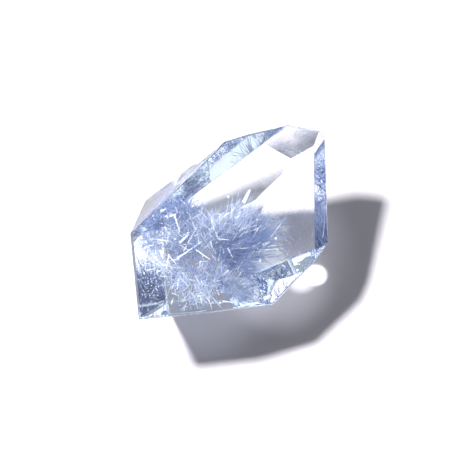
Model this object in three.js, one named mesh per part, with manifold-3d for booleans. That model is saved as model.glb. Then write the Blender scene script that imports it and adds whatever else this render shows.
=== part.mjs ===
// A small polished stone of clear quartz with sprays of blue dumortierite needles inside it.
// Millimetres, +Z up. The stone lies on its resting facet, with the middle of its box on the Z axis.

import * as THREE from "three";
import { mergeVertices } from "three/addons/utils/BufferGeometryUtils.js";
import Module from "manifold-3d";

const wasm = await Module();
wasm.setup();

// Every facet is measured from one point inside the stone, its heart, which is this high.
const HEART_HEIGHT = 4.95;

// The facets. Each one faces an azimuth, in degrees from +X towards +Y, and a tilt above the
// horizon, and lies at its reach from the heart.
const FACETS = {
  broad_face: { azimuth: -80, tilt: 79, reach: 2.45 },
  right_slope: { azimuth: -49, tilt: 66, reach: 2.75 },
  crown_corner: { azimuth: -23, tilt: 83, reach: 3.5 },
  right_strip: { azimuth: -20, tilt: 46, reach: 5.0 },
  ridge_slope: { azimuth: 138, tilt: 28, reach: 5.4 },
  left_wall: { azimuth: -178, tilt: -19, reach: 6.25 },
  back_wall: { azimuth: 107, tilt: -15, reach: 4.75 },
  front_underside: { azimuth: -84, tilt: -26, reach: 5.45 },
  right_front_underside: { azimuth: -41, tilt: -41, reach: 4.75 },
  right_underside: { azimuth: 28, tilt: -51, reach: 4.05 },
  back_right_underside: { azimuth: 86, tilt: -37, reach: 4.25 },
  resting_facet: { azimuth: 0, tilt: -90, reach: HEART_HEIGHT },
};

// Polishing rounds the edges. An edge that turns less than the limit stays crisp.
const EDGE_RADIUS = 0.22;
const CRISP_TURN = 30;

// The needles lie in a pocket that follows the facets, this far below them.
const POCKET_WALL = 0.45;
// No needle grows past these planes, towards the clear right end, the clear back and the clear base.
const POCKET_LIMITS = {
  clear_right_end: { azimuth: 0, tilt: 0, reach: 5.2 },
  clear_back: { azimuth: 90, tilt: 0, reach: 4.2 },
  clear_base: { azimuth: 0, tilt: -90, reach: 2.2 },
};

// The clear solid is parted through the pocket at this height.
const PARTING_HEIGHT = 4.5;

// Needles are slim four-sided prisms that taper to their tips.
const NEEDLE_SIDES = 4;
const NEEDLE_ROOT_RADIUS = 0.09;
const NEEDLE_TIP_RADIUS = 0.045;
// Free space between a needle and the pocket, and between two sprays.
const CLEARANCE = 0.3;

// The sprays. Needles start near the heart point of their spray and fan out around its aim.
const SPRAYS = {
  needle_spray_main: {
    centre: [-0.45, -1.1, 4.6],
    hub: 0.5,
    aim: { azimuth: 35, tilt: 20 },
    fan: 122,
    needles: 55,
    shortest: 1.4,
    longest: 5.4,
    colour: "#7f93c8",
  },
  needle_spray_left: {
    centre: [-4.4, -0.6, 5.0],
    hub: 0.42,
    aim: { azimuth: 215, tilt: 25 },
    fan: 155,
    needles: 45,
    shortest: 1.0,
    longest: 3.2,
    colour: "#b3c0e0",
  },
  needle_spray_lower: {
    centre: [0.0, -3.95, 5.0],
    hub: 0.38,
    aim: { azimuth: 0, tilt: 10 },
    fan: 140,
    needles: 36,
    shortest: 0.9,
    longest: 3.6,
    colour: "#8b9dd0",
  },
};

// Planes that part one spray's space from the next, by azimuth, tilt and reach from the heart.
const LEFT_OF_MAIN = { azimuth: 180, tilt: 0, reach: 2.3 };
const FRONT_OF_MAIN = { azimuth: -90, tilt: 0, reach: 2.6 };

// The angle between neighbours on a sunflower spiral, which spreads needles evenly.
const GOLDEN_ANGLE = Math.PI * (3 - Math.sqrt(5));
// The golden fraction steps through a range without repeating, so lengths look unordered.
const GOLDEN_FRACTION = 0.618034;

// The block that is cut to shape is this long each way, well past the stone.
const BLOCK = 40;
// Two points closer than this are the same corner.
const SAME = 1e-6;

const HEART = new THREE.Vector3(0, 0, HEART_HEIGHT);

// A unit vector from an azimuth and a tilt in degrees.
function facing({ azimuth, tilt }) {
  const turn = THREE.MathUtils.degToRad(azimuth);
  const rise = THREE.MathUtils.degToRad(tilt);
  return new THREE.Vector3(
    Math.cos(turn) * Math.cos(rise),
    Math.sin(turn) * Math.cos(rise),
    Math.sin(rise),
  );
}

// The plane of a facet, moved inwards by an inset. Points inside have a negative distance.
function planeOf(facet, inset = 0) {
  const normal = facing(facet);
  return new THREE.Plane(normal, -(normal.dot(HEART) + facet.reach - inset));
}

// The same plane seen from its other side, for the space beyond it.
function beyond(facet, inset) {
  const plane = planeOf(facet).negate();
  plane.constant += inset;
  return plane;
}

// The point where three planes meet, or null where they don't.
function meeting(a, b, c) {
  const across = new THREE.Vector3().crossVectors(b.normal, c.normal);
  const scale = a.normal.dot(across);
  if (Math.abs(scale) < SAME) {
    return null;
  }
  const point = across.multiplyScalar(-a.constant);
  point.addScaledVector(new THREE.Vector3().crossVectors(c.normal, a.normal), -b.constant);
  point.addScaledVector(new THREE.Vector3().crossVectors(a.normal, b.normal), -c.constant);
  return point.divideScalar(scale);
}

// The corners of the stone: each point where three facets meet inside all the others.
function cornersOf(planes) {
  const corners = [];
  for (let i = 0; i < planes.length; i += 1) {
    for (let j = i + 1; j < planes.length; j += 1) {
      for (let k = j + 1; k < planes.length; k += 1) {
        const point = meeting(planes[i], planes[j], planes[k]);
        if (point && planes.every((plane) => plane.distanceToPoint(point) < SAME)) {
          corners.push({ point, facets: [i, j, k] });
        }
      }
    }
  }
  return corners;
}

// A narrow plane along every edge that turns sharply, as deep as a round of the edge radius.
function edgeRounds(planes) {
  const corners = cornersOf(planes);
  const rounds = [];
  for (let i = 0; i < planes.length; i += 1) {
    for (let j = i + 1; j < planes.length; j += 1) {
      const ends = corners.filter(({ facets }) => facets.includes(i) && facets.includes(j));
      const turn = planes[i].normal.angleTo(planes[j].normal);
      if (ends.length < 2 || turn < THREE.MathUtils.degToRad(CRISP_TURN)) {
        continue;
      }
      const normal = planes[i].normal.clone().add(planes[j].normal).normalize();
      const depth = EDGE_RADIUS * (1 / Math.cos(turn / 2) - 1);
      rounds.push(new THREE.Plane(normal, depth - normal.dot(ends[0].point)));
    }
  }
  return rounds;
}

// A closed three.js geometry as a solid for cutting and joining.
function solidOf(geometry, matrix = new THREE.Matrix4()) {
  const bare = geometry.clone();
  bare.deleteAttribute("normal");
  bare.deleteAttribute("uv");
  bare.applyMatrix4(matrix);
  const merged = mergeVertices(bare);
  const mesh = new wasm.Mesh({
    numProp: 3,
    vertProperties: new Float32Array(merged.attributes.position.array),
    triVerts: new Uint32Array(merged.index.array),
  });
  return new wasm.Manifold(mesh);
}

// A block that fills the outer side of a plane.
function outerBlock(plane) {
  const turn = new THREE.Quaternion().setFromUnitVectors(new THREE.Vector3(0, 0, 1), plane.normal);
  const centre = plane.normal.clone().multiplyScalar(BLOCK / 2 - plane.constant);
  const place = new THREE.Matrix4().compose(centre, turn, new THREE.Vector3(1, 1, 1));
  return solidOf(new THREE.BoxGeometry(BLOCK, BLOCK, BLOCK), place);
}

// The solid that lies inside all of the planes.
function solidWithin(planes) {
  const start = solidOf(new THREE.BoxGeometry(BLOCK / 2, BLOCK / 2, BLOCK / 2));
  return planes.reduce((solid, plane) => solid.subtract(outerBlock(plane)), start);
}

// The whole stone, with its edges rounded. The resting facet's plane is last, so it stays level.
function stoneSolid() {
  const planes = Object.values(FACETS).map((facet) => planeOf(facet));
  return solidWithin([...edgeRounds(planes), ...planes]);
}

// The planes of the pocket, moved inwards by an inset.
function pocketPlanes(inset) {
  const walls = Object.values(FACETS).map((facet) => planeOf(facet, POCKET_WALL + inset));
  const limits = Object.values(POCKET_LIMITS).map((facet) => planeOf(facet, inset));
  return [...walls, ...limits];
}

// The space that each spray may fill.
function spraySpace(name) {
  const pocket = pocketPlanes(CLEARANCE + NEEDLE_ROOT_RADIUS);
  const half = CLEARANCE / 2 + NEEDLE_ROOT_RADIUS;
  if (name === "needle_spray_left") {
    return [...pocket, beyond(LEFT_OF_MAIN, half)];
  }
  if (name === "needle_spray_lower") {
    return [...pocket, planeOf(LEFT_OF_MAIN, half), beyond(FRONT_OF_MAIN, half)];
  }
  return [...pocket, planeOf(LEFT_OF_MAIN, half), planeOf(FRONT_OF_MAIN, half)];
}

// How far a needle can grow from a point before it leaves its space.
function roomAlong(start, direction, planes) {
  const distances = planes
    .filter((plane) => plane.normal.dot(direction) > SAME)
    .map((plane) => -plane.distanceToPoint(start) / plane.normal.dot(direction));
  return Math.min(...distances);
}

// The direction of one needle of a spray, on an even spiral over the fan around its aim.
function needleDirection(spray, index) {
  const widest = 1 - Math.cos(THREE.MathUtils.degToRad(spray.fan));
  const along = 1 - (widest * (index + 0.5)) / spray.needles;
  const aside = Math.sqrt(1 - along * along);
  const turn = index * GOLDEN_ANGLE;
  const local = new THREE.Vector3(aside * Math.cos(turn), aside * Math.sin(turn), along);
  const aim = new THREE.Quaternion().setFromUnitVectors(new THREE.Vector3(0, 0, 1), facing(spray.aim));
  return local.applyQuaternion(aim);
}

// One tapered needle that starts at a point and grows along a direction.
function needleSolid(start, direction, length) {
  const shape = new THREE.CylinderGeometry(NEEDLE_TIP_RADIUS, NEEDLE_ROOT_RADIUS, length, NEEDLE_SIDES);
  shape.translate(0, length / 2, 0);
  const turn = new THREE.Quaternion().setFromUnitVectors(new THREE.Vector3(0, 1, 0), direction);
  return solidOf(shape, new THREE.Matrix4().compose(start, turn, new THREE.Vector3(1, 1, 1)));
}

// A spray: needles of mixed lengths that grow out of a small knot where they crowd together.
function spraySolid(name) {
  const spray = SPRAYS[name];
  const centre = new THREE.Vector3(...spray.centre);
  const space = spraySpace(name);
  const knot = new THREE.IcosahedronGeometry(spray.hub);
  let solid = solidOf(knot, new THREE.Matrix4().setPosition(centre));
  for (let index = 0; index < spray.needles; index += 1) {
    const direction = needleDirection(spray, index);
    const offset = needleDirection(spray, spray.needles - 1 - index);
    const start = centre.clone().addScaledVector(offset, spray.hub / 3);
    const wanted = THREE.MathUtils.lerp(spray.shortest, spray.longest, (index * GOLDEN_FRACTION) % 1);
    const length = Math.min(wanted, roomAlong(start, direction, space));
    if (length > spray.hub) {
      solid = solid.add(needleSolid(start, direction, length));
    }
  }
  return solid;
}

// A solid as a named mesh, moved so that the middle of the stone's box is on the Z axis.
function meshOf(name, solid, material, shift) {
  const { vertProperties, triVerts } = solid.getMesh();
  const geometry = new THREE.BufferGeometry();
  geometry.setAttribute("position", new THREE.BufferAttribute(vertProperties, 3));
  geometry.setIndex(new THREE.BufferAttribute(triVerts, 1));
  geometry.translate(shift.x, shift.y, 0);
  geometry.computeVertexNormals();
  const mesh = new THREE.Mesh(geometry, material);
  mesh.name = name;
  return mesh;
}

// How far the stone moves sideways to stand centred.
function centring(stone) {
  const { min, max } = stone.boundingBox();
  return new THREE.Vector3(-(min[0] + max[0]) / 2, -(min[1] + max[1]) / 2, 0);
}

// The clear quartz, in two halves that meet at the parting plane around the pocket.
function addQuartz(group, stone, shift) {
  const clear = { color: "#b7c7e0", roughness: 0.06, metalness: 0, transparent: true, opacity: 0.35 };
  const pocketed = stone.subtract(solidWithin(pocketPlanes(0)));
  const parting = new THREE.Plane(new THREE.Vector3(0, 0, 1), -PARTING_HEIGHT);
  const above = outerBlock(parting);
  const upper = pocketed.intersect(above);
  const lower = pocketed.subtract(above);
  group.add(meshOf("quartz_upper", upper, new THREE.MeshStandardMaterial(clear), shift));
  group.add(meshOf("quartz_lower", lower, new THREE.MeshStandardMaterial(clear), shift));
}

// The three sprays of needles.
function addSprays(group, shift) {
  for (const [name, { colour }] of Object.entries(SPRAYS)) {
    const needles = new THREE.MeshStandardMaterial({ color: colour, roughness: 0.45, metalness: 0 });
    group.add(meshOf(name, spraySolid(name), needles, shift));
  }
}

const group = new THREE.Group();
group.name = "dumortierite_quartz";
const stone = stoneSolid();
const shift = centring(stone);
addQuartz(group, stone, shift);
addSprays(group, shift);

export default group;
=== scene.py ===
"""A small polished stone of clear quartz with sprays of blue dumortierite needles inside it.

The clear stone is cut facet by facet as one solid, the needles lie in it as meshes of their own,
and a low sun from the upper left throws the stone's shadow on a pale floor. Sizes are in
millimetres unless a name says otherwise.
"""
import logging
import math
import random
from dataclasses import dataclass, field
from enum import Enum
from typing import Any

import bmesh
import bpy
from mathutils import Matrix, Vector


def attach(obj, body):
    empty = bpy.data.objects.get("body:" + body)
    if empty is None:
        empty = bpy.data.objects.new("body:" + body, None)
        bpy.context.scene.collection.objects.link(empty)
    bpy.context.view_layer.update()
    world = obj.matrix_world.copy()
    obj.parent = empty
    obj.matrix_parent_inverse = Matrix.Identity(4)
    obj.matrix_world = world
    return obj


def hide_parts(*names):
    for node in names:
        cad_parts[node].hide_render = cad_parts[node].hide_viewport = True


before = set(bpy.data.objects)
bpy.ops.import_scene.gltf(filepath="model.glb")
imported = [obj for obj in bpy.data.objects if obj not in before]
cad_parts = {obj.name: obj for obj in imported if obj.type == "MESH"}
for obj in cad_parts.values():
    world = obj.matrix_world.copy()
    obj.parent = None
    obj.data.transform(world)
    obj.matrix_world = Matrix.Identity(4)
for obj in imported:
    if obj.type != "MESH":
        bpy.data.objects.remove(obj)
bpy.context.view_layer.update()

LOG = logging.getLogger("dumortierite_quartz")
MM = 0.001
BODY = "root"
QUARTZ_NODES = ("quartz_upper", "quartz_lower")
QUARTZ_IOR = 1.544
DUMORTIERITE_IOR = 1.68
PICTURE_SIDE = 460
CUT_TOLERANCE = 1e-5
WELD_DISTANCE = 1e-4
ALMOST_PARALLEL = 1e-6
HUB_SPREAD = 0.5
BEND_CUTS = 3


def facing(azimuth: float, tilt: float) -> Vector:
    """Gives a unit vector.

    Args:
        azimuth: Degrees from +X towards +Y.
        tilt: Degrees above the horizon.

    Returns:
        The direction.
    """
    turn, rise = math.radians(azimuth), math.radians(tilt)
    return Vector((math.cos(turn) * math.cos(rise), math.sin(turn) * math.cos(rise), math.sin(rise)))


class Facet(Enum):
    """The stone's facets, by azimuth and tilt in degrees."""

    BROAD_FACE = (-80, 79)
    RIGHT_SLOPE = (-49, 66)
    CROWN_CORNER = (-23, 83)
    RIGHT_STRIP = (-20, 46)
    RIDGE_SLOPE = (138, 28)
    LEFT_WALL = (-178, -19)
    BACK_WALL = (107, -15)
    FRONT_UNDERSIDE = (-84, -26)
    RIGHT_FRONT_UNDERSIDE = (-41, -41)
    RIGHT_UNDERSIDE = (28, -51)
    BACK_RIGHT_UNDERSIDE = (86, -37)
    RESTING_FACET = (0, -90)

    @property
    def normal(self) -> Vector:
        """The way that the facet faces."""
        return facing(*self.value)


@dataclass(frozen=True)
class Plane:
    """A cutting plane.

    Attributes:
        normal: Points out of the stone.
        reach: Distance from the origin along the normal.
    """

    normal: Vector
    reach: float

    def cut(self, mesh: bmesh.types.BMesh) -> None:
        """Takes away what lies beyond the plane and closes the cut.

        Args:
            mesh: A closed mesh, changed in place.
        """
        cut = bmesh.ops.bisect_plane(
            mesh,
            geom=[*mesh.verts, *mesh.edges, *mesh.faces],
            dist=CUT_TOLERANCE,
            plane_co=self.normal * self.reach,
            plane_no=self.normal,
            clear_outer=True,
        )
        rim = [part for part in cut["geom_cut"] if isinstance(part, bmesh.types.BMEdge)]
        open_rim = [edge for edge in rim if len(edge.link_faces) == 1]
        if len(open_rim) > 2:
            bmesh.ops.edgeloop_fill(mesh, edges=open_rim)


@dataclass(frozen=True)
class Value:
    """A number that varies over a surface. Arithmetic on it adds Math nodes."""

    tree: bpy.types.NodeTree
    socket: bpy.types.NodeSocket

    def combined(self, operation: str, *others: "Value | float", first: bool = True) -> "Value":
        """Adds one Math node.

        Args:
            operation: The Math node's operation.
            others: Its other inputs.
            first: Whether this value is the first input.

        Returns:
            The node's result.
        """
        node = self.tree.nodes.new("ShaderNodeMath")
        node.operation = operation
        inputs = [self, *others] if first else [*others, self]
        for socket, value in zip(node.inputs, inputs):
            if isinstance(value, Value):
                self.tree.links.new(value.socket, socket)
            else:
                socket.default_value = value
        return Value(self.tree, node.outputs[0])

    def __add__(self, other: "Value | float") -> "Value":
        """Adds."""
        return self.combined("ADD", other)

    __radd__ = __add__

    def __mul__(self, other: "Value | float") -> "Value":
        """Multiplies."""
        return self.combined("MULTIPLY", other)

    __rmul__ = __mul__

    def __sub__(self, other: "Value | float") -> "Value":
        """Subtracts."""
        return self.combined("SUBTRACT", other)

    def __rsub__(self, other: float) -> "Value":
        """Subtracts this value from a number."""
        return self.combined("SUBTRACT", other, first=False)

    def __truediv__(self, other: "Value | float") -> "Value":
        """Divides."""
        return self.combined("DIVIDE", other)

    def __pow__(self, power: float) -> "Value":
        """Raises to a power."""
        return self.combined("POWER", power)

    def clamped(self, low: float, high: float) -> "Value":
        """Keeps the value between two numbers."""
        return self.combined("MAXIMUM", low).combined("MINIMUM", high)


class Shader:
    """The nodes of one material or of the world."""

    def __init__(self, owner: "bpy.types.Material | bpy.types.World") -> None:
        """Clears the owner's nodes.

        Args:
            owner: The material or world that the nodes belong to.
        """
        owner.use_nodes = True
        self.tree = owner.node_tree
        self.tree.nodes.clear()

    def node(self, kind: str, settings: dict[str, Any] | None = None,
             inputs: dict[str | int, Any] | None = None) -> bpy.types.Node:
        """Adds a node.

        Args:
            kind: The node's type.
            settings: Its properties, and the stops of a ramp.
            inputs: A value or a link for each named or numbered socket.

        Returns:
            The new node.
        """
        node = self.tree.nodes.new(kind)
        for name, setting in (settings or {}).items():
            if name == "stops":
                self.set_stops(node.color_ramp, setting)
            else:
                setattr(node, name, setting)
        for name, value in (inputs or {}).items():
            source = value.socket if isinstance(value, Value) else value
            if isinstance(source, bpy.types.NodeSocket):
                self.tree.links.new(source, node.inputs[name])
            else:
                node.inputs[name].default_value = source
        return node

    @staticmethod
    def set_stops(ramp: bpy.types.ColorRamp, stops: list[tuple[float, tuple]]) -> None:
        """Gives a ramp its stops.

        Args:
            ramp: The ramp of a node.
            stops: A place from 0 to 1 and a colour for each stop.
        """
        while len(ramp.elements) < len(stops):
            ramp.elements.new(0.5)
        for element, (place, colour) in zip(ramp.elements, stops):
            element.position = place
            element.color = (*colour, 1.0)

    def value(self, socket: bpy.types.NodeSocket) -> Value:
        """Wraps a socket for arithmetic."""
        return Value(self.tree, socket)

    def place(self) -> bpy.types.NodeSocket:
        """The point on the object, in metres."""
        return self.node("ShaderNodeTexCoord").outputs["Object"]

    def noise(self, size: float, detail: float = 2.0) -> Value:
        """A cloudy pattern.

        Args:
            size: How far its lumps lie apart, in millimetres.
            detail: How many finer layers it has.

        Returns:
            A number around one half.
        """
        noise = self.node(
            "ShaderNodeTexNoise",
            inputs={"Vector": self.place(), "Scale": 1 / (size * MM), "Detail": detail},
        )
        return self.value(noise.outputs[0])

    def finish(self, surface: bpy.types.NodeSocket, volume: bpy.types.NodeSocket | None = None) -> None:
        """Links the output.

        Args:
            surface: The surface shader.
            volume: The shader of what fills the object.
        """
        inputs = {"Surface": surface}
        if volume is not None:
            inputs["Volume"] = volume
        self.node("ShaderNodeOutputMaterial", inputs=inputs)


@dataclass(frozen=True)
class ClearQuartzFinish:
    """Polished clear quartz with a faint blue tint.

    Attributes:
        absorbed: Absorption of red, green and blue, per metre.
        waviness: Height of the slow swells that polishing leaves.
        swell: Distance between the swells.
        haze_size: Distance between the patches where the polish is duller.
        haze_start: Level of the haze pattern from which it dulls the polish.
        haze_depth: Roughness that a full step of the haze pattern would add.
        density_margin: How far the tint's density lies above its strongest absorption.
    """

    absorbed: tuple[float, float, float] = (11.0, 6.0, 2.0)
    waviness: float = 0.012
    swell: float = 2.6
    haze_size: float = 0.9
    haze_start: float = 0.55
    haze_depth: float = 0.05
    density_margin: float = 1.5

    def material(self) -> bpy.types.Material:
        """Makes the material."""
        made = bpy.data.materials.new("clear_quartz")
        shader = Shader(made)
        swells = shader.noise(self.swell, detail=1.0)
        bump = shader.node(
            "ShaderNodeBump",
            inputs={"Height": swells, "Distance": self.waviness * MM, "Strength": 1.0},
        )
        haze = shader.noise(self.haze_size, detail=4.0)
        rough = (haze - self.haze_start).clamped(0.0, 1.0) * self.haze_depth
        body = shader.node(
            "ShaderNodeBsdfPrincipled",
            inputs={
                "Base Color": (1.0, 1.0, 1.0, 1.0),
                "Roughness": rough,
                "IOR": QUARTZ_IOR,
                "Transmission Weight": 1.0,
                "Normal": bump.outputs[0],
            },
        )
        density = max(self.absorbed) * self.density_margin
        kept = tuple(1 - share / density for share in self.absorbed)
        tint = shader.node("ShaderNodeVolumeAbsorption", inputs={"Color": (*kept, 1.0), "Density": density})
        shader.finish(body.outputs[0], tint.outputs[0])
        return made


@dataclass(frozen=True)
class NeedleFinish:
    """Silky blue needles, each with a shade of its own; its white end is a painted glint.

    Attributes:
        deep: Colour of the deepest needles.
        middle: Colour of most needles.
        pale: White of the palest needles, a painted glint: the sun's highlight painted into their colour.
        middle_shade: Shade at which a needle has the middle colour.
        mottle_size: Distance between the lumps that vary a needle's shade.
        mottle_depth: How far they vary it.
        smoothest: Roughness where the lumps are lowest.
        dulling: Roughness that a full lump adds.
    """

    deep: tuple[float, float, float] = (0.10, 0.14, 0.33)
    middle: tuple[float, float, float] = (0.30, 0.39, 0.65)
    # Painted light: this white stands for the sun's glint on a needle, not the needle's own colour.
    pale: tuple[float, float, float] = (1.0, 1.0, 1.0)
    middle_shade: float = 0.45
    mottle_size: float = 0.35
    mottle_depth: float = 0.35
    smoothest: float = 0.3
    dulling: float = 0.2

    def material(self) -> bpy.types.Material:
        """Makes the material."""
        made = bpy.data.materials.new("dumortierite")
        shader = Shader(made)
        stored = shader.node("ShaderNodeAttribute", {"attribute_name": "shade"})
        shade = shader.value(stored.outputs["Fac"])
        mottle = shader.noise(self.mottle_size)
        ramp = shader.node(
            "ShaderNodeValToRGB",
            {"stops": [(0.0, self.deep), (self.middle_shade, self.middle), (1.0, self.pale)]},
            {"Fac": (shade + (mottle - 0.5) * self.mottle_depth).clamped(0.0, 1.0)},
        )
        body = shader.node(
            "ShaderNodeBsdfPrincipled",
            inputs={
                "Base Color": ramp.outputs[0],
                "Roughness": self.smoothest + mottle * self.dulling,
                "IOR": DUMORTIERITE_IOR,
            },
        )
        shader.finish(body.outputs[0])
        return made


@dataclass(frozen=True)
class FloorFinish:
    """A sheet of pale paper.

    Attributes:
        colour: The paper's colour.
        fibre_size: Distance between its fibres.
        fibre_height: How far they stand up.
        fibre_strength: Share of that height that shows.
        roughness: How dull it is.
        sheen: Strength of its weak reflection.
    """

    colour: tuple[float, float, float] = (0.235, 0.222, 0.238)
    fibre_size: float = 0.8
    fibre_height: float = 0.02
    fibre_strength: float = 0.5
    roughness: float = 0.9
    sheen: float = 0.1

    def material(self) -> bpy.types.Material:
        """Makes the material."""
        made = bpy.data.materials.new("paper")
        shader = Shader(made)
        fibres = shader.noise(self.fibre_size, detail=4.0)
        bump = shader.node(
            "ShaderNodeBump",
            inputs={
                "Height": fibres,
                "Distance": self.fibre_height * MM,
                "Strength": self.fibre_strength,
            },
        )
        body = shader.node(
            "ShaderNodeBsdfPrincipled",
            inputs={
                "Base Color": (*self.colour, 1.0),
                "Roughness": self.roughness,
                "Specular IOR Level": self.sheen,
                "Normal": bump.outputs[0],
            },
        )
        shader.finish(body.outputs[0])
        return made


def piece_from(mesh: bmesh.types.BMesh, name: str, material: bpy.types.Material) -> bpy.types.Object:
    """Turns a finished bmesh in millimetres into an object at the origin.

    Args:
        mesh: The bmesh, which is freed.
        name: The piece's name.
        material: Its finish.

    Returns:
        The new object.
    """
    bmesh.ops.scale(mesh, vec=(MM, MM, MM), verts=mesh.verts[:])
    data = bpy.data.meshes.new(name)
    mesh.to_mesh(data)
    mesh.free()
    data.materials.append(material)
    made = bpy.data.objects.new(name, data)
    bpy.context.scene.collection.objects.link(made)
    return made


@dataclass
class Viewpoint:
    """The camera, far off behind a long lens.

    Attributes:
        elevation: Degrees above the horizon.
        lens: Focal length.
        sensor: Width of the sensor.
        frame_width: Width that the picture takes in at the target.
        target: Point that the middle of the picture shows.
        clip: Nearest and farthest distance that it shows, in metres.
    """

    elevation: float = 70.0
    lens: float = 400.0
    sensor: float = 36.0
    frame_width: float = 34.5
    target: tuple[float, float, float] = (0.053, 0.405, 4.25)
    clip: tuple[float, float] = (0.01, 5.0)

    @property
    def back(self) -> Vector:
        """The way from the target to the camera."""
        return facing(-90, self.elevation)

    @property
    def eye(self) -> Vector:
        """Where the camera stands."""
        return Vector(self.target) + self.back * (self.frame_width * self.lens / self.sensor)

    def ray(self, pixel: tuple[float, float]) -> Vector:
        """The direction in which the camera sees a pixel.

        Args:
            pixel: Column and row in the picture.

        Returns:
            A unit vector.
        """
        step = self.frame_width / PICTURE_SIDE
        right = Vector((1, 0, 0))
        up = right.cross(self.back) * -1
        aside = (pixel[0] - PICTURE_SIDE / 2) * step
        above = (PICTURE_SIDE / 2 - pixel[1]) * step
        return (Vector(self.target) + right * aside + up * above - self.eye).normalized()

    def floor_at(self, pixel: tuple[float, float]) -> Vector:
        """The point of the floor that the picture shows at a pixel."""
        ray = self.ray(pixel)
        return self.eye - ray * (self.eye.z / ray.z)

    def build(self) -> None:
        """Makes the camera."""
        data = bpy.data.cameras.new("camera")
        data.lens = self.lens
        data.sensor_width = self.sensor
        data.clip_start, data.clip_end = self.clip
        camera = bpy.data.objects.new("camera", data)
        camera.location = self.eye * MM
        camera.rotation_mode = "QUATERNION"
        camera.rotation_quaternion = (-self.back).to_track_quat("-Z", "Y")
        bpy.context.scene.collection.objects.link(camera)
        bpy.context.scene.camera = camera


@dataclass
class ClearQuartz:
    """The clear stone, one solid inside its facets.

    Attributes:
        edge_radius: How round polishing left the edges.
        crisp_turn: Edges that turn less than this many degrees stay crisp.
        round_steps: Flats that make up a round edge.
        block: Side of the block that the stone is cut from.
        finish: Its material.
        planes: The cutting plane of each facet, read from the solids.
    """

    edge_radius: float = 0.22
    crisp_turn: float = 12.0
    round_steps: int = 4
    block: float = 40.0
    finish: ClearQuartzFinish = field(default_factory=ClearQuartzFinish)
    planes: dict[Facet, Plane] = field(default_factory=dict)

    def __post_init__(self) -> None:
        """Reads how far the stone reaches in each facet's direction."""
        points = [v.co / MM for name in QUARTZ_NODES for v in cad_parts[name].data.vertices]
        for facet in Facet:
            normal = facet.normal
            self.planes[facet] = Plane(normal, max(normal.dot(point) for point in points))

    def sharp_solid(self) -> bmesh.types.BMesh:
        """The stone with sharp edges."""
        mesh = bmesh.new()
        bmesh.ops.create_cube(mesh, size=self.block)
        for plane in self.planes.values():
            plane.cut(mesh)
        bmesh.ops.remove_doubles(mesh, verts=mesh.verts[:], dist=WELD_DISTANCE)
        return mesh

    def rounds(self, mesh: bmesh.types.BMesh) -> list[Plane]:
        """The planes that touch a round of the edge radius along every edge that turns sharply.

        Args:
            mesh: The stone with sharp edges.

        Returns:
            A few planes for each such edge.
        """
        found = []
        for edge in mesh.edges:
            first, second = (face.normal for face in edge.link_faces)
            turn = first.angle(second)
            if turn < math.radians(self.crisp_turn):
                continue
            middle = (first + second).normalized()
            axis = edge.verts[0].co - middle * (self.edge_radius / math.cos(turn / 2))
            for step in range(1, self.round_steps + 1):
                normal = first.slerp(second, step / (self.round_steps + 1))
                found.append(Plane(normal, normal.dot(axis) + self.edge_radius))
        return found

    def inside(self, view: Viewpoint, pixel: tuple[float, float], depth: float) -> Vector:
        """Finds what the picture shows at a pixel, through the surface that bends the view.

        Args:
            view: The camera.
            pixel: Column and row in the picture.
            depth: Distance below the surface, along the bent line of sight.

        Returns:
            A point inside the stone.
        """
        ray = view.ray(pixel)
        facing_planes = [plane for plane in self.planes.values() if plane.normal.dot(ray) < 0]
        crossings = [(p.reach - p.normal.dot(view.eye)) / p.normal.dot(ray) for p in facing_planes]
        entry = max(crossings)
        normal = facing_planes[crossings.index(entry)].normal
        slant = -normal.dot(ray)
        ratio = 1 / QUARTZ_IOR
        bent = ray * ratio + normal * (ratio * slant - math.sqrt(1 - ratio ** 2 * (1 - slant ** 2)))
        return view.eye + ray * entry + bent * depth

    def room(self, start: Vector, direction: Vector, skin: float) -> float:
        """How far one can go from a point before a facet is nearer than the skin.

        Args:
            start: A point inside.
            direction: A unit vector.
            skin: The clear distance to keep.

        Returns:
            A length.
        """
        return min((plane.reach - skin - plane.normal.dot(start)) / plane.normal.dot(direction)
                   for plane in self.planes.values() if plane.normal.dot(direction) > ALMOST_PARALLEL)

    def covers(self, point: Vector, skin: float) -> bool:
        """Whether a point lies deeper than the skin."""
        return all(plane.normal.dot(point) < plane.reach - skin for plane in self.planes.values())

    def build(self) -> bpy.types.Object:
        """Cuts the stone and dresses it."""
        mesh = self.sharp_solid()
        mesh.normal_update()
        for plane in self.rounds(mesh):
            plane.cut(mesh)
        bmesh.ops.remove_doubles(mesh, verts=mesh.verts[:], dist=WELD_DISTANCE)
        bmesh.ops.recalc_face_normals(mesh, faces=mesh.faces[:])
        stone = piece_from(mesh, "clear_stone", self.finish.material())
        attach(stone, BODY)
        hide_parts(*QUARTZ_NODES)
        return stone


@dataclass(frozen=True)
class Rod:
    """One thick needle or bright grain that can be told apart in the picture; its white is a painted glint.

    Attributes:
        root: Where the picture shows its thick end, as column and row.
        tip: Where the picture shows its other end.
        depth: How far below the surface it lies.
        width: Thickness at the root.
        tone: Shade from 0, deep blue, to 1, white, which is a painted glint. Below 0 no part of it is paler
            than deep blue.
    """

    root: tuple[float, float]
    tip: tuple[float, float]
    depth: float = 0.7
    width: float = 0.10
    # White by default: a painted glint of the sun on the rod.
    tone: float = 1.0


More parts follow.
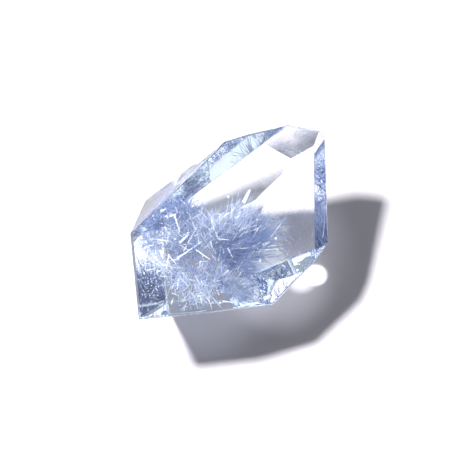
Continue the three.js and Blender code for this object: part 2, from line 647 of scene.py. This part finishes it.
@dataclass(frozen=True)
class Tuft:
    """A bunch of fine needles that grow out of one place.

    Attributes:
        root: Where the picture shows its middle, as column and row.
        depth: How far below the surface that is.
        aim: Azimuth and tilt that its needles lean towards.
        fan: Degrees from the aim to the outermost needle.
        count: How many needles there are.
        lengths: Shortest and longest needle.
        hub: How far from the middle they start, with HUB_SPREAD of it as the standard deviation.
        tones: Deepest and palest shade, from 0, deep blue, to 1, white, the white being a painted glint.
        bend: How far the tips curve aside, as a share of the length.
        glints: Share of its needles that are thick and painted white: a painted glint, the sun's highlight
            on them.
    """

    root: tuple[float, float]
    depth: float
    aim: tuple[float, float]
    fan: float
    count: int
    lengths: tuple[float, float]
    hub: float = 0.5
    tones: tuple[float, float] = (0.1, 0.7)
    bend: float = 0.0
    glints: float = 0.07

    def direction(self, draw: random.Random) -> Vector:
        """Draws a direction inside the fan.

        Args:
            draw: The spray's random numbers.

        Returns:
            A unit vector.
        """
        widest = 1 - math.cos(math.radians(self.fan))
        along = 1 - widest * draw.random()
        aside = math.sqrt(max(0.0, 1 - along * along))
        turn = draw.uniform(0, 2 * math.pi)
        local = Vector((aside * math.cos(turn), aside * math.sin(turn), along))
        return facing(*self.aim).to_track_quat("Z", "Y") @ local


@dataclass
class NeedleSpray:
    """A spray of needles: tufts of fine ones, with a few thick rods across them.

    Attributes:
        name: The piece's name.
        node: The solid that the spray stands for.
        tufts: Its bunches of fine needles.
        rods: Its thick needles.
        seed: Starts the random draws.
        radii: Thinnest and thickest root of a fine needle.
        sides: Sides of a needle.
        skin: Clear quartz between a needle and a facet.
        shortest: Needles cut shorter than this are left out.
        glint_length: Length of a glint, a needle painted white as the sun's highlight, as a share of its
            neighbours'.
        glint_width: Thinnest and thickest glint, as a share of the thickest fine needle.
        rod_slimming: A rod's tip radius as a share of its root's.
    """

    name: str
    node: str
    tufts: tuple[Tuft, ...]
    rods: tuple[Rod, ...]
    seed: int
    radii: tuple[float, float] = (0.012, 0.038)
    sides: int = 4
    skin: float = 0.2
    shortest: float = 0.06
    glint_length: float = 0.6
    glint_width: tuple[float, float] = (1.0, 1.5)
    rod_slimming: float = 0.45

    def grow(self, mesh: bmesh.types.BMesh, start: Vector, end: Vector, radius: float, tone: float,
             bend: float = 0.0, slimming: float = 0.35) -> None:
        """Adds one needle.

        Args:
            mesh: The spray's mesh.
            start: The root's place.
            end: The tip's place.
            radius: The root's radius.
            tone: The needle's shade.
            bend: How far it curves aside, as a share of its length.
            slimming: The tip's radius as a share of the root's.
        """
        along = end - start
        length = along.length
        needle = bmesh.new()
        shade = needle.verts.layers.float.new("shade")
        bmesh.ops.create_cone(needle, cap_ends=True, segments=self.sides, radius1=radius,
                              radius2=radius * slimming, depth=length)
        if bend:
            long_edges = [edge for edge in needle.edges if edge.calc_length() > length / 2]
            bmesh.ops.subdivide_edges(needle, edges=long_edges, cuts=BEND_CUTS)
        for vert in needle.verts:
            share = vert.co.z / length + 0.5
            vert.co.x += bend * length * 4 * share * (1 - share)
            vert[shade] = tone
        turn = along.to_track_quat("Z", "Y").to_matrix().to_4x4()
        place = Matrix.Translation((start + end) / 2) @ turn
        bmesh.ops.transform(needle, matrix=place, verts=needle.verts[:])
        grown = bpy.data.meshes.new("needle")
        needle.to_mesh(grown)
        needle.free()
        mesh.from_mesh(grown)
        bpy.data.meshes.remove(grown)

    def build(self, quartz: ClearQuartz, view: Viewpoint, material: bpy.types.Material) -> bpy.types.Object:
        """Grows the needles.

        Args:
            quartz: The stone around them.
            view: The camera, for the places that are read from the picture.
            material: The needles' finish.

        Returns:
            The spray as one piece.
        """
        draw = random.Random(self.seed)
        mesh = bmesh.new()
        mesh.verts.layers.float.new("shade")
        for tuft in self.tufts:
            middle = quartz.inside(view, tuft.root, tuft.depth)
            for _ in range(tuft.count):
                direction = tuft.direction(draw)
                offset = Vector([draw.gauss(0, HUB_SPREAD) for _ in range(3)])
                start = middle + offset * tuft.hub
                length = min(draw.uniform(*tuft.lengths), quartz.room(start, direction, self.skin))
                tone = draw.uniform(*tuft.tones)
                radius = draw.uniform(*self.radii)
                # A painted glint: the needle is made thicker and given white, which stands for the sun's
                # highlight on it.
                if draw.random() < tuft.glints:
                    length *= self.glint_length
                    tone = 1.0
                    radius = self.radii[1] * draw.uniform(*self.glint_width)
                if quartz.covers(start, self.skin) and length > self.shortest:
                    end = start + direction * length
                    self.grow(mesh, start, end, radius, tone, tuft.bend * draw.random())
        for rod in self.rods:
            ends = [quartz.inside(view, pixel, rod.depth) for pixel in (rod.root, rod.tip)]
            self.grow(mesh, *ends, rod.width / 2, rod.tone, slimming=self.rod_slimming)
        made = piece_from(mesh, self.name, material)
        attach(made, BODY)
        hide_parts(self.node)
        return made


@dataclass(frozen=True)
class Glow:
    """A patch of sunlight that the stone passes on to the floor inside its shadow.

    Attributes:
        name: The patch's name.
        pixel: Where the picture shows its middle, as column and row.
        radius: How far it reaches from there.
        strength: Its light, in the sun's unit.
        softness: Share of the radius over which it fades.
        tint: Its colour.
    """

    name: str
    pixel: tuple[float, float]
    radius: float
    strength: float
    softness: float
    tint: tuple[float, float, float] = (1.0, 1.0, 1.0)


GLOWS = (
    Glow("passed_light", (266, 246), 7.5, 2.4, 1.0, (0.92, 0.96, 1.0)),
    Glow("passed_left", (200, 290), 6.5, 3.0, 1.0, (0.80, 0.88, 1.0)),
    Glow("foot_light", (280, 284), 4.6, 2.6, 1.0, (0.88, 0.94, 1.0)),
    Glow("bright_spot", (316, 275), 1.0, 18.0, 0.8),
    Glow("bright_neck", (301, 277), 1.5, 11.0, 1.0),
)


@dataclass(frozen=True)
class Surroundings:
    """The soft room light around the stone, as shown brightness by direction.

    Attributes:
        level: Brightness sideways, before the slopes.
        slopes: How much it grows towards +X, +Y and +Z.
        panel: Azimuth and tilt of a broad bright panel.
        panel_edge: Cosine of the angle at which the panel begins.
        panel_blend: Step in that cosine over which it reaches its full light.
        panel_strength: What it adds.
        limits: Darkest and brightest.
        gamma: Turns shown brightness into light.
        tint: Colour of the room light.
    """

    level: float = 0.79
    slopes: tuple[float, float, float] = (-0.32, 0.03, 0.22)
    panel: tuple[float, float] = (-86.0, 36.0)
    panel_edge: float = 0.80
    panel_blend: float = 0.14
    panel_strength: float = 0.31
    limits: tuple[float, float] = (0.35, 1.25)
    gamma: float = 2.2
    tint: tuple[float, float, float] = (0.88, 0.94, 1.0)

    def build(self) -> None:
        """Makes the world."""
        world = bpy.data.worlds.new("surroundings")
        bpy.context.scene.world = world
        shader = Shader(world)
        coordinates = shader.node("ShaderNodeTexCoord").outputs["Generated"]
        toward = shader.node("ShaderNodeSeparateXYZ", inputs={0: coordinates})
        x, y, z = (shader.value(toward.outputs[i]) for i in range(3))
        ahead = facing(*self.panel)
        turned = x * ahead.x + y * ahead.y + z * ahead.z
        panel = ((turned - self.panel_edge) / self.panel_blend).clamped(0.0, 1.0)
        along_x, along_y, along_z = self.slopes
        shown = self.level + x * along_x + y * along_y + z * along_z + panel * self.panel_strength
        bright = shown.clamped(*self.limits) ** self.gamma
        light = shader.node("ShaderNodeBackground", inputs={"Color": (*self.tint, 1.0), "Strength": bright})
        shader.node("ShaderNodeOutputWorld", inputs={"Surface": light.outputs[0]})


def point_power(strength: float, distance: float) -> float:
    """The power with which a small lamp lights as strongly as a sun.

    Args:
        strength: The sun's strength.
        distance: Metres from the lamp to what it lights.

    Returns:
        Watts.
    """
    return strength * 4 * math.pi * distance ** 2


@dataclass
class Studio:
    """The floor and the lamps.

    Attributes:
        sun_direction: The way from the stone to the sun.
        sun_strength: The sun's light on the floor and the stone's skin.
        sun_width: How wide the sun looks, in degrees, which softens the shadow.
        inner_strength: The sunlight that reaches the needles.
        inner_size: Radius of the lamp that gives it.
        fill_direction: Azimuth and tilt that the soft light comes from.
        fill_strength: The soft light that reaches the needles.
        fill_size: Radius of the lamp that gives it.
        inner_distance: How far the needles' lamps are from the middle of the stone.
        inner_height: How high the middle of the stone is.
        inner_tint: Makes up for the stone's tint on the way to the needles.
        glow_height: How high the lamps hang that light patches of the floor.
        floor_gap: How far the floor is below the resting facet.
        floor_radius: How far the floor goes.
        floor_sides: Sides of its rim.
    """

    sun_direction: tuple[float, float, float] = (-0.67, 0.29, 1.0)
    sun_strength: float = 21.0
    sun_width: float = 8.0
    inner_strength: float = 4.2
    inner_size: float = 4.0
    fill_direction: tuple[float, float] = (-90.0, 80.0)
    fill_strength: float = 1.8
    fill_size: float = 20.0
    inner_distance: float = 45.0
    inner_height: float = 4.5
    inner_tint: tuple[float, float, float] = (1.0, 0.84, 0.72)
    glow_height: float = 60.0
    floor_gap: float = 0.02
    floor_radius: float = 600.0
    floor_sides: int = 64

    def build_floor(self) -> bpy.types.Object:
        """Lays the floor a hair below the resting facet."""
        mesh = bmesh.new()
        bmesh.ops.create_circle(mesh, cap_ends=True, segments=self.floor_sides,
                                radius=self.floor_radius,
                                matrix=Matrix.Translation((0, 0, -self.floor_gap)))
        floor = piece_from(mesh, "floor", FloorFinish().material())
        return floor

    def lamp(self, name: str, kind: str, direction: Vector, strength: float) -> bpy.types.Object:
        """Makes a lamp that shines from a direction.

        Args:
            name: The lamp's name.
            kind: The lamp's type.
            direction: The way from the stone to the lamp.
            strength: Its energy.

        Returns:
            The lamp.
        """
        data = bpy.data.lights.new(name, kind)
        data.energy = strength
        lamp = bpy.data.objects.new(name, data)
        lamp.rotation_mode = "QUATERNION"
        lamp.rotation_quaternion = (-direction).to_track_quat("-Z", "Y")
        bpy.context.scene.collection.objects.link(lamp)
        return lamp

    def link(self, lamp: bpy.types.Object, lit: list[bpy.types.Object],
             blockers: list[bpy.types.Object] | None = None) -> None:
        """Lets a lamp light only some objects.

        Args:
            lamp: The lamp.
            lit: What it lights.
            blockers: What throws a shadow in its light.
        """
        receivers = bpy.data.collections.new(lamp.name + "_lit")
        for item in lit:
            receivers.objects.link(item)
        lamp.light_linking.receiver_collection = receivers
        if blockers is not None:
            shading = bpy.data.collections.new(lamp.name + "_blocked_by")
            for item in blockers:
                shading.objects.link(item)
            lamp.light_linking.blocker_collection = shading

    def add_sun(self, direction: Vector) -> None:
        """Makes the sun.

        Args:
            direction: The way from the stone to the sun.
        """
        lamp = self.lamp("sun", "SUN", direction, self.sun_strength)
        lamp.data.angle = math.radians(self.sun_width)
        lamp.data.cycles.use_multiple_importance_sampling = False

    def near_lamp(self, name: str, direction: Vector, strength: float, size: float) -> bpy.types.Object:
        """Makes a lamp for the needles, near enough that the stone's tint doesn't swallow its light.

        Args:
            name: The lamp's name.
            direction: The way from the stone to the lamp.
            strength: Its light at the stone, in the sun's unit.
            size: The lamp's radius.

        Returns:
            The lamp.
        """
        distance = self.inner_distance * MM
        lamp = self.lamp(name, "POINT", direction, point_power(strength, distance))
        lamp.location = Vector((0, 0, self.inner_height * MM)) + direction * distance
        lamp.data.shadow_soft_size = size * MM
        lamp.data.color = self.inner_tint
        lamp.data.cycles.use_multiple_importance_sampling = False
        return lamp

    def add_glow(self, glow: Glow, floor: bpy.types.Object, view: Viewpoint) -> None:
        """Lights a patch of the floor from straight above, through the stone.

        Args:
            glow: The patch.
            floor: The only thing that the lamp lights.
            view: The camera, for the patch's place.
        """
        height = self.glow_height * MM
        lamp = self.lamp(glow.name, "SPOT", Vector((0, 0, 1)), point_power(glow.strength, height))
        lamp.location = view.floor_at(glow.pixel) * MM + Vector((0, 0, height))
        lamp.data.spot_size = 2 * math.atan(glow.radius / self.glow_height)
        lamp.data.spot_blend = glow.softness
        lamp.data.shadow_soft_size = 0.0
        lamp.data.color = glow.tint
        self.link(lamp, [floor], [floor])

    def build(self, needles: list[bpy.types.Object], view: Viewpoint) -> None:
        """Lights the scene.

        Args:
            needles: The pieces inside the clear stone, which two near lamps light.
            view: The camera, for the patches of light on the floor.
        """
        floor = self.build_floor()
        direction = Vector(self.sun_direction).normalized()
        self.add_sun(direction)
        inner = self.near_lamp("sun_inside", direction, self.inner_strength, self.inner_size)
        self.link(inner, needles, needles)
        above = facing(*self.fill_direction)
        fill = self.near_lamp("fill_inside", above, self.fill_strength, self.fill_size)
        self.link(fill, needles, [floor])
        for glow in GLOWS:
            self.add_glow(glow, floor, view)
        Surroundings().build()


def set_look() -> None:
    """Sets how light is traced and shown."""
    scene = bpy.context.scene
    scene.view_settings.view_transform = "Standard"
    scene.cycles.max_bounces = 32
    scene.cycles.transmission_bounces = 32
    scene.cycles.glossy_bounces = 16
    scene.cycles.diffuse_bounces = 2
    scene.cycles.transparent_max_bounces = 16
    scene.cycles.blur_glossy = 0.0
    scene.cycles.sample_clamp_indirect = 40.0
    scene.cycles.use_denoising = True


LEFT_SPRAY = NeedleSpray(
    name="needles_left",
    node="needle_spray_left",
    seed=2,
    tufts=(
        Tuft((157, 222), 0.8, (90, 60), 120, 250, (0.4, 1.2), 0.7, (0.0, 0.4)),
        Tuft((150, 242), 0.8, (200, 50), 150, 230, (0.4, 1.3), 0.7, (0.15, 0.7)),
        Tuft((172, 236), 1.0, (45, 40), 150, 250, (0.5, 1.6), 0.8, (0.3, 0.8)),
        Tuft((188, 246), 1.4, (20, 30), 150, 290, (0.6, 2.0), 1.0, (0.15, 0.6)),
        Tuft((182, 214), 1.8, (70, 20), 90, 250, (0.7, 2.2), 1.0, (0.1, 0.5)),
        Tuft((160, 262), 0.8, (260, 30), 130, 160, (0.4, 1.2), 0.9, (0.5, 0.95)),
        Tuft((180, 276), 1.0, (250, 30), 150, 200, (0.4, 1.4), 1.1, (0.3, 0.8)),
        Tuft((150, 288), 0.6, (260, 40), 150, 100, (0.06, 0.16), 1.0, (0.7, 1.0)),
    ),
    rods=(
        Rod((174.4, 214.8), (179.8, 231.8), 0.4, 0.13),
        Rod((169.5, 216.6), (176.2, 213.9), 0.5, 0.12),
        Rod((179.5, 242.8), (188.7, 234.5), 0.5, 0.22),
        Rod((183.4, 251.4), (196.8, 227.3), 0.6, 0.10),
        Rod((177.0, 258.6), (202.0, 241.6), 0.4, 0.13),
        Rod((196.8, 227.0), (210.0, 248.8), 0.6, 0.08, 0.9),
        Rod((195.9, 249.6), (210.0, 259.5), 0.5, 0.12),
        Rod((151.2, 239.0), (171.8, 241.6), 0.5, 0.09),
        Rod((152.0, 238.0), (165.5, 240.3), 0.5, 0.07, 0.9),
        Rod((149.0, 247.9), (145.4, 260.4), 0.4, 0.12, 0.9),
        Rod((169.0, 254.0), (166.4, 269.3), 0.5, 0.12),
        Rod((169.0, 256.0), (176.2, 264.0), 0.5, 0.11),
        Rod((155.2, 255.9), (158.8, 263.0), 0.5, 0.10, 0.9),
        Rod((179.8, 276.4), (187.8, 286.3), 0.5, 0.12, 0.8),
        Rod((182.0, 273.0), (190.5, 283.5), 0.6, 0.07, 0.7),
        Rod((160.6, 211.3), (165.5, 209.0), 0.25, 0.18),
        Rod((174.3, 239.2), (176.3, 238.6), 0.5, 0.20),
        Rod((146.9, 236.5), (148.4, 236.0), 0.4, 0.22),
        Rod((165.0, 226.5), (166.5, 231.5), 0.5, 0.10),
    ),
)

MAIN_SPRAY = NeedleSpray(
    name="needles_main",
    node="needle_spray_main",
    seed=1,
    tufts=(
        Tuft((222, 252), 1.6, (55, 25), 75, 370, (1.2, 4.2), 0.6, (0.05, 0.55)),
        Tuft((205, 238), 1.2, (85, 30), 60, 250, (0.8, 2.6), 0.9, (0.25, 0.8)),
        Tuft((214, 226), 0.8, (60, 40), 90, 160, (0.5, 1.6), 0.7, (0.5, 0.95)),
        Tuft((238, 222), 1.2, (50, 20), 40, 180, (0.8, 2.4), 0.8, (0.35, 0.9)),
        Tuft((250, 243), 1.8, (35, 15), 45, 250, (1.0, 3.2), 0.9, (0.1, 0.55)),
        Tuft((225, 262), 1.0, (20, 10), 80, 160, (0.5, 1.4), 0.6, (0.0, 0.35)),
        Tuft((235, 250), 3.0, (45, -10), 70, 250, (1.0, 3.4), 1.0, (0.0, 0.4)),
    ),
    rods=(
        Rod((243.5, 202.7), (249.9, 190.0), 0.8, 0.32),
        Rod((241.9, 208.3), (255.5, 201.0), 0.9, 0.22, 0.95),
        Rod((234.7, 217.9), (241.9, 215.9), 0.8, 0.22),
        Rod((222.6, 217.5), (229.8, 212.0), 0.8, 0.12),
        Rod((223.6, 217.0), (229.0, 213.0), 0.8, 0.10, 0.9),
        Rod((211.9, 219.3), (217.3, 237.1), 0.5, 0.16),
        Rod((209.6, 213.5), (213.0, 222.0), 0.5, 0.09, 0.9),
        Rod((217.3, 238.9), (228.9, 239.8), 0.5, 0.12),
        Rod((228.0, 247.9), (231.6, 255.9), 0.5, 0.15),
        Rod((210.5, 240.5), (212.5, 248.5), 0.6, 0.12, 0.9),
        Rod((227.5, 197.3), (229.2, 196.6), 0.8, 0.24),
        Rod((280.0, 223.5), (286.6, 217.0), 1.0, 0.16, 0.45),
        Rod((256.3, 231.4), (261.0, 225.0), 0.8, 0.14),
        Rod((262.8, 245.3), (269.7, 241.5), 0.9, 0.26),
        Rod((275.4, 239.8), (276.2, 237.0), 0.9, 0.26),
        Rod((257.0, 249.0), (258.2, 248.4), 0.9, 0.20, 0.9),
        Rod((277.2, 250.4), (278.4, 249.4), 1.0, 0.20, 0.8),
    ),
)

LOWER_SPRAY = NeedleSpray(
    name="needles_lower",
    node="needle_spray_lower",
    seed=3,
    tufts=(
        Tuft((222, 285), 0.8, (35, 25), 70, 250, (0.8, 2.4), 0.5, (0.2, 0.8), 0.2),
        Tuft((236, 292), 0.9, (10, 15), 60, 250, (0.6, 2.0), 0.6, (0.2, 0.8), -0.15),
        Tuft((205, 276), 1.0, (10, 30), 140, 180, (0.5, 1.6), 1.0, (0.2, 0.75)),
        Tuft((205, 290), 0.7, (200, 30), 130, 140, (0.4, 1.4), 0.7, (0.4, 0.9)),
        Tuft((192, 298), 0.6, (190, 30), 150, 130, (0.3, 1.0), 1.1, (0.4, 0.9)),
        # Short grains painted white: painted sparkles where the sun's light passes through the stone.
        Tuft((264, 287), 0.5, (0, 40), 150, 70, (0.08, 0.25), 1.3, (0.8, 1.0), glints=0.8),
        Tuft((255, 298), 0.8, (60, 30), 120, 140, (0.3, 1.0), 0.8, (0.5, 1.0)),
        Tuft((240, 272), 1.2, (15, 20), 50, 180, (0.8, 2.2), 0.5, (0.15, 0.6), 0.2),
    ),
    rods=(
        Rod((223.5, 274.6), (228.9, 270.2), 0.5, 0.18),
        Rod((201.2, 284.5), (210.0, 286.0), 0.5, 0.12, 0.9),
        Rod((219.6, 303.5), (220.4, 301.8), 0.4, 0.24),
        Rod((222.6, 301.0), (232.5, 302.3), 0.4, 0.13),
        Rod((259.5, 261.5), (260.6, 258.8), 0.6, 0.16),
        Rod((266.2, 281.3), (267.1, 280.5), 0.6, 0.26),
        Rod((280.4, 288.4), (281.2, 287.2), 0.4, 0.26),
        Rod((272.6, 292.4), (273.4, 291.6), 0.4, 0.24),
        Rod((261.0, 291.6), (261.8, 290.6), 0.5, 0.24),
        Rod((264.0, 299.0), (270.5, 296.0), 0.4, 0.34),
        Rod((250.0, 304.5), (258.5, 302.5), 0.3, 0.22),
        Rod((221.2, 282.4), (221.9, 280.6), 0.4, 0.24, -0.5),
        Rod((223.0, 285.2), (223.9, 283.0), 0.4, 0.30, -0.5),
        Rod((191.0, 285.3), (191.4, 284.7), 0.4, 0.16, -0.3),
    ),
)


def main() -> None:
    """Builds the stone, its needles and the studio in order."""
    logging.basicConfig(level=logging.INFO, format="%(message)s")
    view = Viewpoint()
    view.build()
    quartz = ClearQuartz()
    stone = quartz.build()
    LOG.info("%s: %d faces", stone.name, len(stone.data.polygons))
    material = NeedleFinish().material()
    needles = []
    for spray in (LEFT_SPRAY, MAIN_SPRAY, LOWER_SPRAY):
        needles.append(spray.build(quartz, view, material))
        LOG.info("%s: %d faces", spray.name, len(needles[-1].data.polygons))
    Studio().build(needles, view)
    set_look()


if __name__ == "__main__":
    main()
